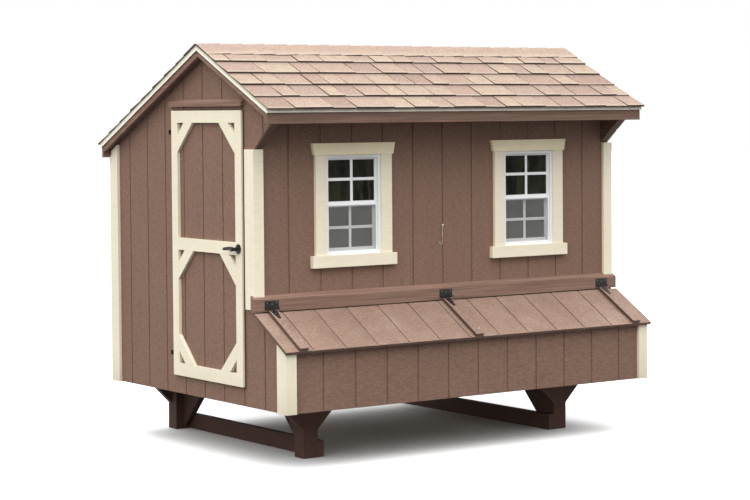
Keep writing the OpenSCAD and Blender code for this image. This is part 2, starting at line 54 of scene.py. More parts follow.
def B(x, y, z):
    """A point given from the front left corner of the siding, in metres, in the row frame."""
    return Vector((x - OX, y - OY, z))


def T(y):
    """Height of the roof deck's top."""
    return RIDGE_Z - PITCH * abs(y - RIDGE_Y)


# ---------------------------------------------------------------- node helpers
class Mat:
    def __init__(self, name):
        self.m = bpy.data.materials.new(name)
        self.m.use_nodes = True
        self.t = self.m.node_tree
        self.t.nodes.clear()
        self.out = self.t.nodes.new("ShaderNodeOutputMaterial")
        self.p = self.t.nodes.new("ShaderNodeBsdfPrincipled")
        self.t.links.new(self.p.outputs[0], self.out.inputs["Surface"])
        self.tc = self.t.nodes.new("ShaderNodeTexCoord").outputs["Object"]

    def put(self, sock, v):
        if v is None:
            return
        if isinstance(v, bpy.types.NodeSocket):
            self.t.links.new(v, sock)
        else:
            sock.default_value = v

    def node(self, kind, **kw):
        n = self.t.nodes.new(kind)
        for k, v in kw.items():
            setattr(n, k, v)
        return n

    def math(self, op, a, b=None, c=None, clamp=False):
        n = self.node("ShaderNodeMath", operation=op, use_clamp=clamp)
        self.put(n.inputs[0], a)
        if b is not None:
            self.put(n.inputs[1], b)
        if c is not None:
            self.put(n.inputs[2], c)
        return n.outputs[0]

    def xyz(self, v=None):
        n = self.node("ShaderNodeSeparateXYZ")
        self.put(n.inputs[0], self.tc if v is None else v)
        return n.outputs[0], n.outputs[1], n.outputs[2]

    def scaled(self, s, off=(0, 0, 0)):
        n = self.node("ShaderNodeMapping")
        self.put(n.inputs["Vector"], self.tc)
        n.inputs["Scale"].default_value = s
        n.inputs["Location"].default_value = off
        return n.outputs[0]

    def noise(self, s, detail=3.0, rough=0.55, off=(0, 0, 0), dist=0.0, vec=None):
        n = self.node("ShaderNodeTexNoise")
        n.inputs["Scale"].default_value = 1.0
        n.inputs["Detail"].default_value = detail
        n.inputs["Roughness"].default_value = rough
        n.inputs["Distortion"].default_value = dist
        self.put(n.inputs["Vector"], vec if vec is not None else self.scaled(s, off))
        return n.outputs[0]

    def ramp(self, fac, a, b, lo=0.0, hi=1.0):
        n = self.node("ShaderNodeMapRange")
        n.clamp = True
        self.put(n.inputs[0], fac)
        n.inputs[1].default_value = a
        n.inputs[2].default_value = b
        n.inputs[3].default_value = lo
        n.inputs[4].default_value = hi
        return n.outputs[0]

    def mix(self, fac, a, b, blend="MIX"):
        n = self.node("ShaderNodeMix", data_type="RGBA", blend_type=blend)
        self.put(n.inputs[0], fac)
        for i, v in ((6, a), (7, b)):
            if isinstance(v, bpy.types.NodeSocket):
                self.t.links.new(v, n.inputs[i])
            else:
                n.inputs[i].default_value = (*v[:3], 1.0)
        return n.outputs[2]

    def mixf(self, fac, a, b):
        n = self.node("ShaderNodeMix", data_type="FLOAT")
        self.put(n.inputs[0], fac)
        self.put(n.inputs[2], a)
        self.put(n.inputs[3], b)
        return n.outputs[0]

    def bump(self, h, dist, strength=1.0, normal=None):
        n = self.node("ShaderNodeBump")
        n.inputs["Strength"].default_value = strength
        n.inputs["Distance"].default_value = dist
        self.put(n.inputs["Height"], h)
        if normal is not None:
            self.put(n.inputs["Normal"], normal)
        return n.outputs[0]

    def color(self, v):
        self.put(self.p.inputs["Base Color"], v if isinstance(v, bpy.types.NodeSocket) else (*v[:3], 1.0))

    def rough(self, v):
        self.put(self.p.inputs["Roughness"], v)

    def normal(self, v):
        self.put(self.p.inputs["Normal"], v)

    def island(self):
        return self.node("ShaderNodeNewGeometry").outputs["Random Per Island"]


def lin(r, g, b):
    f = lambda c: (c / 255 / 12.92) if c / 255 <= 0.04045 else ((c / 255 + 0.055) / 1.055) ** 2.4
    return (f(r), f(g), f(b))


def dim(c, k):
    return tuple(min(1.0, v * k) for v in c)


AX = {"X": 0, "Y": 1, "Z": 2}


def stretch(axis, along, across):
    s = [across] * 3
    s[AX[axis]] = along
    return tuple(s)


# ---------------------------------------------------------------- materials
def stained(name, col, grain="Z", saw=True, rough=0.78, dusty=0.0, spread=0.06, board=False, edge=None, raw=None):
    """Semi-solid stained timber or panel siding: long grain, fine crosswise saw marks, uneven stain."""
    m = Mat(name)
    cross = {"Z": "X", "X": "Z", "Y": "Z"}[grain]
    big = m.noise((1.3, 1.3, 1.1), 3, 0.5, (3.1, 0.4, 1.7))
    fibre = m.noise(stretch(grain, 4.0, 120.0), 4, 0.6, dist=0.3)
    wide = m.noise(stretch(grain, 1.6, 22.0), 3, 0.55, (5, 2, 1), dist=0.4)
    # saw marks run across the grain
    ss = [42.0, 42.0, 42.0]
    ss[AX[grain]] = 205.0
    sawn = m.noise(tuple(ss), 2, 0.5, (1, 7, 3))
    speck = m.noise((260, 260, 260), 2, 0.6)
    c = m.mix(m.ramp(big, 0.3, 0.7), dim(col, 1 - spread), dim(col, 1 + spread))
    c = m.mix(m.ramp(wide, 0.35, 0.72, 0.0, 0.22), c, dim(col, 0.80))
    c = m.mix(m.ramp(fibre, 0.52, 0.75, 0.0, 0.30), c, dim(col, 0.70))
    if saw:
        c = m.mix(m.ramp(sawn, 0.50, 0.64, 0.0, 0.55), c, dim(col, 1.30))
        c = m.mix(m.ramp(sawn, 0.34, 0.49, 0.60, 0.0), c, dim(col, 0.66))
    if board:
        # sawn board: dark drawn-out streaks and dry, greyer ridges
        st = m.noise(stretch(grain, 2.2, 95.0), 3, 0.6, (8, 3, 5), dist=0.5)
        c = m.mix(m.ramp(st, 0.50, 0.62, 0.0, 0.55), c, dim(col, 0.60))
        c = m.mix(m.ramp(st, 0.48, 0.38, 0.0, 0.60), c, tuple(a * b for a, b in zip(dim(col, 1.38), (0.95, 1.03, 1.12))))
    c = m.mix(m.ramp(m.island(), 0, 1, 0.0, 0.10), c, dim(col, 0.88))
    c = m.mix(m.ramp(speck, 0.62, 0.78, 0.0, 0.16), c, dim(col, 1.35))
    if dusty:
        d = m.noise((5, 5, 5), 5, 0.65, (9, 2, 4))
        c = m.mix(m.ramp(d, 0.45, 0.75, 0.0, dusty), c, lin(205, 186, 170))
    if edge is not None:
        # painted light: the lighter colour stays only on the top as a painted sheen; sides, ends and underside get the
        # darker edge colour as painted shade
        nn = m.node("ShaderNodeSeparateXYZ")
        m.put(nn.inputs[0], m.node("ShaderNodeTexCoord").outputs["Normal"])
        c = m.mix(m.ramp(nn.outputs[2], 0.45, 0.75), m.mix(m.ramp(fibre, 0.4, 0.7, 0.0, 0.3), edge, dim(edge, 0.7)), c)
    if raw is not None:
        # the inner face was never stained
        nn = m.node("ShaderNodeSeparateXYZ")
        m.put(nn.inputs[0], m.node("ShaderNodeTexCoord").outputs["Normal"])
        if raw == "ends":
            side = m.math("MULTIPLY", m.math("MULTIPLY", nn.outputs[0], m.xyz()[0]), -1.0)
        else:
            side = m.math("MULTIPLY", nn.outputs[AX[raw[1]]], 1.0 if raw[0] == "+" else -1.0)
        rc = m.mix(m.ramp(wide, 0.35, 0.68), dim(RAW, 0.80), tuple(a * b for a, b in zip(RAW, (0.62, 0.52, 0.42))))
        rc = m.mix(m.ramp(fibre, 0.5, 0.75, 0.0, 0.35), rc, dim(RAW, 0.42))
        c = m.mix(m.math("GREATER_THAN", side, 0.6), c, rc)
    m.color(c)
    m.rough(m.ramp(fibre, 0.2, 0.8, rough - 0.08, rough + 0.08))
    h = m.math("ADD", m.math("MULTIPLY", fibre, 0.55), m.math("MULTIPLY", sawn, 1.0 if saw else 0.2))
    m.normal(m.bump(h, 0.0014, 0.85))
    m.p.inputs["Specular IOR Level"].default_value = 0.32
    return m.m


def painted(name, col, across=(), rough=0.55, painted_bounce_light=None, cut=None):
    """Cream paint on sawn boards. The grain runs up, except inside the boxes in across, where it runs along the board."""
    m = Mat(name)
    x, y, z = m.xyz()

    def pattern(vec_scale):
        return m.noise(vec_scale, 4, 0.6, dist=0.25)

    up = pattern((150.0, 150.0, 5.0))
    upw = m.noise((26.0, 26.0, 1.6), 3, 0.5, (4, 1, 2))
    if across:
        side = m.noise((5.0, 5.0, 150.0), 4, 0.6, dist=0.25)
        sidew = m.noise((1.6, 1.6, 26.0), 3, 0.5, (4, 1, 2))
        mask = None
        for axis, lo, hi in across:
            v = {"X": x, "Y": y, "Z": z}[axis]
            a = m.math("MULTIPLY", m.math("GREATER_THAN", v, lo), m.math("LESS_THAN", v, hi))
            mask = a if mask is None else m.math("MAXIMUM", mask, a)
        g, w = m.mixf(mask, up, side), m.mixf(mask, upw, sidew)
    else:
        g, w = up, upw
    big = m.noise((2.2, 2.2, 1.4), 3, 0.5, (2, 8, 3))
    marks = m.noise((18.0, 18.0, 165.0), 2, 0.5, (6, 1, 2))
    c = m.mix(m.ramp(big, 0.3, 0.7), dim(col, 0.965), dim(col, 1.03))
    c = m.mix(m.ramp(w, 0.42, 0.75, 0.0, 0.16), c, dim(col, 0.86))
    c = m.mix(m.ramp(g, 0.56, 0.80, 0.0, 0.20), c, tuple(a * b for a, b in zip(dim(col, 0.80), (1.0, 0.97, 0.90))))
    c = m.mix(m.ramp(m.island(), 0, 1, 0.0, 0.12), c, dim(col, 0.93))
    c = m.mix(m.ramp(marks, 0.34, 0.47, 0.16, 0.0), c, dim(col, 0.72))
    c = m.mix(m.ramp(marks, 0.54, 0.66, 0.0, 0.20), c, tuple(min(v * 1.10, 0.93) for v in col))
    if painted_bounce_light is not None:
        # painted light: this strip is tinted lighter and warmer, standing in for warm bounce light under the eave
        v = {"X": x, "Y": y, "Z": z}[painted_bounce_light[0]]
        c = m.mix(m.math("GREATER_THAN", v, painted_bounce_light[1]), c, painted_bounce_light[2], "MULTIPLY")
    if cut is not None:
        # painted shade: the edge strip next to the gap is given a dark stain colour, standing in for the shadow in the
        # gap
        keep = None
        for axis, lo, hi in cut[0]:
            v = {"X": x, "Y": y, "Z": z}[axis]
            a = m.math("MULTIPLY", m.math("GREATER_THAN", v, lo), m.math("LESS_THAN", v, hi))
            keep = a if keep is None else m.math("MULTIPLY", keep, a)
        c = m.mix(keep, c, cut[1])
    # a little dirt near the ground
    c = m.mix(m.ramp(m.math("ADD", z, m.math("MULTIPLY", m.noise((9, 9, 9), 4, 0.6), 0.12)), 0.36, 0.52, 0.28, 0.0), c, lin(170, 152, 128))
    m.color(c)
    m.rough(m.ramp(g, 0.2, 0.8, rough - 0.07, rough + 0.10))
    m.normal(m.bump(m.math("ADD", m.math("MULTIPLY", marks, 0.8), m.math("ADD", g, m.math("MULTIPLY", w, 0.5))), 0.0007, 0.7))
    return m.m


def raw_wood(name, col, grain="X"):
    m = Mat(name)
    ring = m.noise(stretch(grain, 2.2, 46.0), 4, 0.6, dist=1.4)
    fibre = m.noise(stretch(grain, 9.0, 320.0), 3, 0.6)
    c = m.mix(m.ramp(ring, 0.38, 0.66), dim(col, 1.06), tuple(a * b for a, b in zip(col, (0.80, 0.70, 0.56))))
    c = m.mix(m.ramp(fibre, 0.5, 0.8, 0.0, 0.3), c, dim(col, 0.7))
    c = m.mix(m.ramp(m.island(), 0, 1, 0.0, 0.22), c, dim(col, 0.80))
    m.color(c)
    m.rough(0.72)
    m.normal(m.bump(m.math("ADD", ring, fibre), 0.0005, 0.5))
    return m.m


def plywood(name, col):
    m = Mat(name)
    x, y, z = m.xyz()
    ring = m.noise((3.0, 14.0, 14.0), 4, 0.6, dist=2.2)
    ply = m.node("ShaderNodeTexWave", wave_type="BANDS", bands_direction="Z")
    ply.inputs["Scale"].default_value = 95
    m.put(ply.inputs["Vector"], m.tc)
    c = m.mix(m.ramp(ring, 0.35, 0.7), dim(col, 1.05), tuple(a * b for a, b in zip(col, (0.82, 0.72, 0.58))))
    c = m.mix(m.math("MULTIPLY", ply.outputs["Fac"], 0.10), c, dim(col, 0.6))
    m.color(c)
    m.rough(0.75)
    m.normal(m.bump(ring, 0.0004, 0.5))
    return m.m


def shingle_mat(name, k=1.0):
    """Asphalt shingle: coarse mineral granules in a tan blend, one tone to each tab."""
    m = Mat(name)

    def dim(c, q):
        return (c[0] * q * 0.96, c[1] * q * 1.01, c[2] * q * 1.06)

    tone = m.node("ShaderNodeAttribute", attribute_name="tone").outputs["Fac"]
    up = m.node("ShaderNodeAttribute", attribute_name="up").outputs["Fac"]
    cr = m.node("ShaderNodeValToRGB")
    el = cr.color_ramp.elements
    stops = [(0.0, lin(176, 142, 124)), (0.22, lin(192, 158, 138)), (0.42, lin(204, 172, 150)), (0.62, lin(210, 182, 156)),
             (0.80, lin(216, 192, 162)), (1.0, lin(184, 154, 138))]
    el[0].position, el[0].color = stops[0][0], (*dim(stops[0][1], k), 1)
    el[1].position, el[1].color = stops[-1][0], (*dim(stops[-1][1], k), 1)
    for p, c in stops[1:-1]:
        e = el.new(p)
        e.color = (*dim(c, k), 1)
    cr.color_ramp.interpolation = "LINEAR"
    m.put(cr.inputs[0], tone)
    blot = m.noise((26, 26, 26), 3, 0.6, (1, 2, 3))
    vor = m.node("ShaderNodeTexVoronoi")
    vor.inputs["Scale"].default_value = 420
    m.put(vor.inputs["Vector"], m.tc)
    vv = m.node("ShaderNodeSeparateColor")
    m.put(vv.inputs[0], vor.outputs["Color"])
    g1, g2 = vv.outputs[0], vv.outputs[1]
    c = m.mix(m.ramp(blot, 0.36, 0.62, 0.0, 0.55), cr.outputs[0], dim(lin(188, 156, 142), k))
    c = m.mix(m.ramp(g1, 0.72, 0.80, 0.0, 0.55), c, dim(lin(226, 206, 184), k))
    c = m.mix(m.ramp(g2, 0.80, 0.86, 0.0, 0.60), c, dim(lin(118, 78, 62), k))
    c = m.mix(m.ramp(g1, 0.10, 0.04, 0.0, 0.55), c, dim(lin(90, 66, 58), k))
    # painted light: a lighter lip stands in for light on the butt, the darker upper course for painted shade under the
    # next course, and its last strip for that course's painted shadow
    c = m.mix(m.ramp(up, 0.20, 0.0, 0.0, 0.38), c, dim(lin(236, 216, 194), k))
    c = m.mix(m.ramp(up, 0.62, 1.0, 0.0, 0.45), c, dim(lin(150, 122, 110), k))
    c = m.mix(m.ramp(up, 0.90, 1.0, 0.0, 0.55), c, dim(lin(96, 76, 66), k))
    # the cut edge is bare black asphalt
    c = m.mix(m.ramp(up, 0.011, 0.002, 0.0, 0.92), c, lin(52, 42, 38))
    cut = m.node("ShaderNodeAttribute", attribute_name="cut").outputs["Fac"]
    c = m.mix(m.ramp(cut, 0.4, 0.6, 0.0, 0.88), c, lin(56, 44, 38))
    m.color(c)
    m.rough(0.92)
    m.p.inputs["Specular IOR Level"].default_value = 0.25
    h = m.math("ADD", m.math("MULTIPLY", vor.outputs["Distance"], -1.0), m.math("MULTIPLY", m.noise((700, 700, 700), 2, 0.6), 0.6))
    m.normal(m.bump(h, 0.0012, 0.8))
    return m.m


def metal_paint(name, col, rough=0.42, chips=None):
    m = Mat(name)
    n = m.noise((60, 60, 60), 4, 0.6)
    f = m.noise((900, 900, 900), 2, 0.5)
    c = m.mix(m.ramp(n, 0.3, 0.7), dim(col, 0.88), dim(col, 1.12))
    if chips is not None:
        c = m.mix(m.ramp(m.noise((140, 140, 140), 3, 0.6, (4, 4, 1)), 0.66, 0.74, 0.0, 0.5), c, chips)
    m.color(c)
    m.rough(m.ramp(n, 0.3, 0.7, rough - 0.06, rough + 0.08))
    m.p.inputs["Specular IOR Level"].default_value = 0.30
    m.normal(m.bump(f, 0.0002, 0.5))
    return m.m


def zinc(name):
    m = Mat(name)
    n = m.noise((220, 220, 220), 3, 0.6)
    v = m.node("ShaderNodeTexVoronoi")
    v.inputs["Scale"].default_value = 260
    m.put(v.inputs["Vector"], m.tc)
    c = m.mix(m.ramp(n, 0.3, 0.7), lin(176, 176, 170), lin(222, 222, 216))
    c = m.mix(m.ramp(v.outputs["Distance"], 0.2, 0.6, 0.0, 0.2), c, lin(150, 146, 134))
    m.color(c)
    m.p.inputs["Metallic"].default_value = 0.9
    m.rough(m.ramp(n, 0.2, 0.8, 0.24, 0.42))
    m.normal(m.bump(n, 0.0001, 0.4))
    return m.m


def vinyl(name, col):
    m = Mat(name)
    n = m.noise((9, 9, 9), 3, 0.5)
    f = m.noise((500, 500, 500), 2, 0.5)
    d = m.noise((40, 40, 6), 4, 0.6, (3, 3, 3))
    c = m.mix(m.ramp(n, 0.3, 0.7), dim(col, 0.97), col)
    c = m.mix(m.ramp(d, 0.60, 0.80, 0.0, 0.12), c, lin(170, 170, 160))
    m.color(c)
    m.rough(m.ramp(n, 0.3, 0.7, 0.30, 0.42))
    m.normal(m.bump(f, 0.00008, 0.4))
    return m.m


def glass(name):
    """A clear pane over a dark room: dark, glossy and slightly see-through, with painted reflections as greenish
    streaks and warmer tree-like patches.
    """
    m = Mat(name)
    s = m.noise((7, 7, 2.2), 5, 0.65, (2, 5, 1), dist=1.2)
    tree = m.noise((26, 26, 6.5), 5, 0.68, (1, 4, 6), dist=0.8)
    # painted reflection: a greenish mottle, and warmer patches standing in for reflected trees
    c = m.mix(m.ramp(s, 0.42, 0.75), lin(14, 17, 12), lin(58, 60, 46))
    m.color(m.mix(m.ramp(tree, 0.50, 0.68, 0.0, 0.75), c, lin(82, 74, 54)))
    m.p.inputs["IOR"].default_value = 1.5
    m.p.inputs["Specular IOR Level"].default_value = 0.05
    m.rough(m.ramp(s, 0.3, 0.8, 0.03, 0.09))
    m.put(m.p.inputs["Alpha"], m.ramp(s, 0.3, 0.8, 0.80, 0.90))
    return m.m


def screen_mesh(name):
    """Woven insect screen, 1.4 mm pitch, drawn as real holes."""
    m = Mat(name)
    x, y, z = m.xyz()
    w = lambda v: m.math("ABSOLUTE", m.math("SUBTRACT", m.math("FRACT", m.math("MULTIPLY", v, 714.0)), 0.5))
    wx, wz = w(x), w(z)
    a = m.math("MAXIMUM", m.ramp(wx, 0.445, 0.46), m.ramp(wz, 0.445, 0.46))
    n = m.noise((12, 12, 12), 3, 0.6)
    m.color(m.mix(m.ramp(n, 0.3, 0.7), lin(158, 158, 157), lin(172, 172, 170)))
    m.rough(0.6)
    m.put(m.p.inputs["Alpha"], m.ramp(a, 0.0, 1.0, 0.08, 0.65))
    m.normal(m.bump(m.math("MAXIMUM", wx, wz), 0.0003, 0.5))
    return m.m


SIDING = (0.211, 0.125, 0.090)
# the lid's base colour is the siding stain made lighter, a painted sheen from the sky
LID_WITH_SHEEN = (0.250, 0.159, 0.121)
CREAM = lin(236, 227, 204)
LEGS = (0.080, 0.041, 0.030)
RAW = lin(206, 178, 134)

M = {}
for _k, _r in (("siding_front", "+Y"), ("siding_back", "-Y"), ("siding_left", "+X"), ("siding_right", "-X"), ("nest_front", "+Y"),
               ("nest_sides", "ends"), ("door_panel", "+X"), ("pop_door", "-Y")):
    M[_k] = stained("stain_" + _k, SIDING, "Z", raw=_r)
M["siding_x"] = stained("timber_along_x", dim(SIDING, 1.06), "X", saw=False, board=True)
# fascia: a darker board, partly its own stain and partly painted shade under the roof edge
M["fascia"] = stained("fascia_stain_and_shade", dim(SIDING, 0.86), "X", saw=False, board=True)
# soffit and overhang blocks: the stain is darkened as painted shade under the eave
M["underside_shade_x"] = stained("stain_painted_shade_x", dim(SIDING, 0.56), "X", saw=False, board=True)
M["underside_shade_y"] = stained("stain_painted_shade_y", dim(SIDING, 0.50), "Y", saw=False, board=True)
M["siding_y"] = stained("timber_along_y", dim(SIDING, 1.06), "Y", saw=False, board=True)
M["lid"] = stained("lid_panel_stain_sheen", LID_WITH_SHEEN, "Y", rough=0.72, dusty=0.16, edge=dim(SIDING, 0.55), raw="-Z")
M["lid_batten"] = stained("lid_batten_stain_sheen", dim(LID_WITH_SHEEN, 0.97), "Y", saw=False, rough=0.70, dusty=0.14, board=True, edge=dim(SIDING, 0.50))
M["legs_z"] = stained("leg_timber_up", LEGS, "Z", saw=False, rough=0.80, spread=0.12)
M["legs_y"] = stained("leg_timber_along_y", LEGS, "Y", saw=False, rough=0.80, spread=0.12)
M["cream"] = painted("cream_paint_boards", CREAM)
M["raw_x"] = raw_wood("softwood_x", RAW, "X")
M["raw_y"] = raw_wood("softwood_y", RAW, "Y")
M["raw_z"] = raw_wood("softwood_z", RAW, "Z")
M["ply"] = plywood("plywood_sheet", dim(RAW, 0.95))
M["black"] = metal_paint("black_powder_coat", lin(19, 16, 15), 0.52)
M["screw"] = metal_paint("dull_screw_steel", lin(112, 100, 92), 0.45)
M["hinge"] = metal_paint("door_hinge_iron", lin(30, 21, 16), 0.80)
M["hinge"].node_tree.nodes["Principled BSDF"].inputs["Specular IOR Level"].default_value = 0.08
def edge_metal(name):
    """Bent edge metal: painted shade makes it greyer just under the shingles, and a painted highlight makes its lower
    lip lighter.
    """
    m = Mat(name)
    x, y, z = m.xyz()
    fall = m.math("MULTIPLY", m.math("ABSOLUTE", m.math("ADD", y, OY - RIDGE_Y)), PITCH)
    d = m.math("SUBTRACT", m.math("SUBTRACT", RIDGE_Z, fall), z)
    n = m.noise((50, 50, 50), 4, 0.6)
    d = m.math("ADD", d, m.math("MULTIPLY", n, 0.003))
    # painted shade on the upper band and a painted highlight on the lower lip, by depth under the deck top
    c = m.mix(m.ramp(d, 0.012, 0.022), lin(222, 217, 196), lin(255, 250, 234))
    c = m.mix(m.ramp(n, 0.55, 0.75, 0.0, 0.25), c, lin(170, 166, 148))
    m.color(c)
    m.rough(m.ramp(n, 0.3, 0.7, 0.34, 0.48))
    m.p.inputs["Specular IOR Level"].default_value = 0.35
    m.normal(m.bump(m.noise((700, 700, 700), 2, 0.5), 0.0002, 0.5))
    return m.m


M["drip"] = edge_metal("painted_edge_metal")
M["zinc"] = zinc("zinc_plate")
def olive(name):
    m = Mat(name)
    x, y, z = m.xyz()
    n = m.noise((150, 150, 40), 4, 0.6)
    c = m.mix(m.ramp(n, 0.35, 0.65), lin(110, 116, 92), lin(196, 196, 184))
    m.color(c)
    m.p.inputs["Metallic"].default_value = 0.75
    m.rough(m.ramp(n, 0.2, 0.8, 0.30, 0.50))
    m.normal(m.bump(n, 0.0001, 0.4))
    return m.m


M["hook"] = olive("hook_wire")
M["vinyl"] = vinyl("white_window_vinyl", lin(240, 241, 242))
M["glass"] = glass("window_pane")
M["screen"] = screen_mesh("insect_screen")
M["shingle"] = shingle_mat("asphalt_shingle", 0.585)

# cream boards that lie across: door rails, window heads and sills
_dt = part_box("door_trim")
# door trim: painted shade on the stile edge beside the corner board, a dark strip for the shadow in the gap
M["cream_door"] = painted("cream_paint_door", CREAM, across=[("Y", _dt[0][1] + 0.0645, _dt[1][1] - 0.0645)],
                           cut=([("X", _dt[1][0] - 0.0075, _dt[1][0] + 0.01), ("Y", _dt[0][1] - 0.01, _dt[0][1] + 0.003)], dim(SIDING, 0.42)))
_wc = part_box("window_casings")
# the window head strips carry painted light, tinted lighter and warmer
M["cream_window"] = painted("cream_paint_casings", CREAM, across=[("Z", _wc[0][2] - 0.01, _wc[0][2] + 0.0642), ("Z", _wc[1][2] - 0.0632, _wc[1][2] + 0.01)],
                             painted_bounce_light=("Z", _wc[1][2] - 0.0632, (1.14, 1.10, 0.98)))


def paint(mat, *nodes):
    for n in nodes:
        o = NODES[n]
        if len(o.material_slots) == 0:
            o.data.materials.append(None)
        for s in o.material_slots:
            s.link = "OBJECT"
            s.material = M[mat]


for _k in ("siding_front", "siding_back", "siding_left", "siding_right", "nest_front", "nest_sides", "door_panel", "pop_door"):
    paint(_k, _k)
paint("siding_x", "ledger")
paint("underside_shade_x", "soffit")
paint("fascia", "fascias")
paint("siding_y", "rake_boards", "drip_cap")
paint("underside_shade_y", "overhang_blocks")
paint("lid", "lid_panel")
paint("lid_batten", "lid_battens")
paint("legs_z", "posts", "leg_braces")
paint("legs_y", "runners")
paint("cream", "corner_trims", "pop_guides", "door_braces")
paint("cream_door", "door_trim")
paint("cream_window", "window_casings")
paint("raw_x", "floor_frame", "nest_frame", "roosts")
paint("raw_y", "rafters")
paint("raw_z", "frame_front", "frame_back", "frame_gables", "door_backer")
paint("ply", "floor_deck", "nest_floor", "nest_dividers", "roof_deck")
paint("black", "door_lock", "door_rose", "door_lever", "lid_hinge_plates", "lid_hinge_straps")
paint("hinge", "hinge_wall", "hinge_door")
paint("drip", "drip_edge")
paint("zinc", "door_bolt", "lid_eye", "hook_staple")
paint("hook", "hook")
paint("vinyl", "window_frames", "sash_l", "sash_r", "screen_frames")
paint("glass", "upper_glass", "sash_glass_l", "sash_glass_r")
paint("screen", "screens")


def soften(width, *nodes, segments=2):
    """Real edges aren't razor sharp: weld the CAD mesh's split points and round its edges."""
    for n in nodes:
        o = NODES[n]
        w = o.modifiers.new("weld", "WELD")
        w.merge_threshold = 0.00002
        b = o.modifiers.new("edges", "BEVEL")
        b.width = width
        b.segments = segments
        b.limit_method = "ANGLE"
        b.angle_limit = math.radians(40)
        b.use_clamp_overlap = True


soften(0.0016, "corner_trims", "door_trim", "door_braces", "window_casings", "fascias", "rake_boards", "overhang_blocks", "ledger", "drip_cap",
       "lid_battens", "posts", "runners", "leg_braces", "pop_guides")
soften(0.0009, "siding_front", "siding_left", "siding_right", "siding_back", "nest_front", "nest_sides", "door_panel", "lid_panel", "pop_door")
soften(0.0010, "window_frames", "sash_l", "sash_r", "screen_frames")
soften(0.0006, "lid_hinge_plates", "lid_hinge_straps", "hinge_wall", "hinge_door")


# ---------------------------------------------------------------- mesh helpers
def make(name, verts, faces, mat, body, replaces=(), smooth=False, attrs=None):
    me = bpy.data.meshes.new(name)
    me.from_pydata([tuple(v) for v in verts], [], faces)
    me.validate()
    me.update()
    o = bpy.data.objects.new(name, me)
    bpy.context.scene.collection.objects.link(o)
    me.materials.append(M[mat])
    if smooth:
        me.polygons.foreach_set("use_smooth", [True] * len(me.polygons))
    for k, (dom, vals) in (attrs or {}).items():
        a = me.attributes.new(k, "FLOAT", dom)
        a.data.foreach_set("value", np.array(vals, np.float32))
    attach(o, body)
    if replaces:
        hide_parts(*replaces)
    return o


class Build:
    """Collects vertices and faces, with a tone for each face and an 'up' value for each point."""

    def __init__(self):
        self.v, self.f, self.tone, self.up, self.cut = [], [], [], [], []

    def slab(self, grid_top, grid_bot, tone, up):
        """Two grids [rows][cols] of points, joined into a closed slab. up gives a value for each row."""
        r, c = len(grid_top), len(grid_top[0])
        base = len(self.v)
        for g in (grid_top, grid_bot):
            for i in range(r):
                for j in range(c):
                    self.v.append(g[i][j])
                    self.up.append(up[i])
        t = lambda i, j: base + i * c + j
        b = lambda i, j: base + r * c + i * c + j
        fs = []
        for i in range(r - 1):
            for j in range(c - 1):
                fs.append((t(i, j), t(i, j + 1), t(i + 1, j + 1), t(i + 1, j)))
                fs.append((b(i, j), b(i + 1, j), b(i + 1, j + 1), b(i, j + 1)))
        flat = len(fs)
        for j in range(c - 1):
            fs.append((t(0, j), b(0, j), b(0, j + 1), t(0, j + 1)))
            fs.append((t(r - 1, j), t(r - 1, j + 1), b(r - 1, j + 1), b(r - 1, j)))
        for i in range(r - 1):
            fs.append((t(i, 0), t(i + 1, 0), b(i + 1, 0), b(i, 0)))
            fs.append((t(i, c - 1), b(i, c - 1), b(i + 1, c - 1), t(i + 1, c - 1)))
        self.f += fs
        self.tone += [tone] * len(fs)
        self.cut += [0.0] * flat + [1.0] * (len(fs) - flat)


def wob(x, seed, amp):
    return amp * (math.sin(x * 5.1 + seed) * 0.5 + math.sin(x * 13.7 + seed * 2.3) * 0.3 + math.sin(x * 31.0 + seed * 0.7) * 0.2)


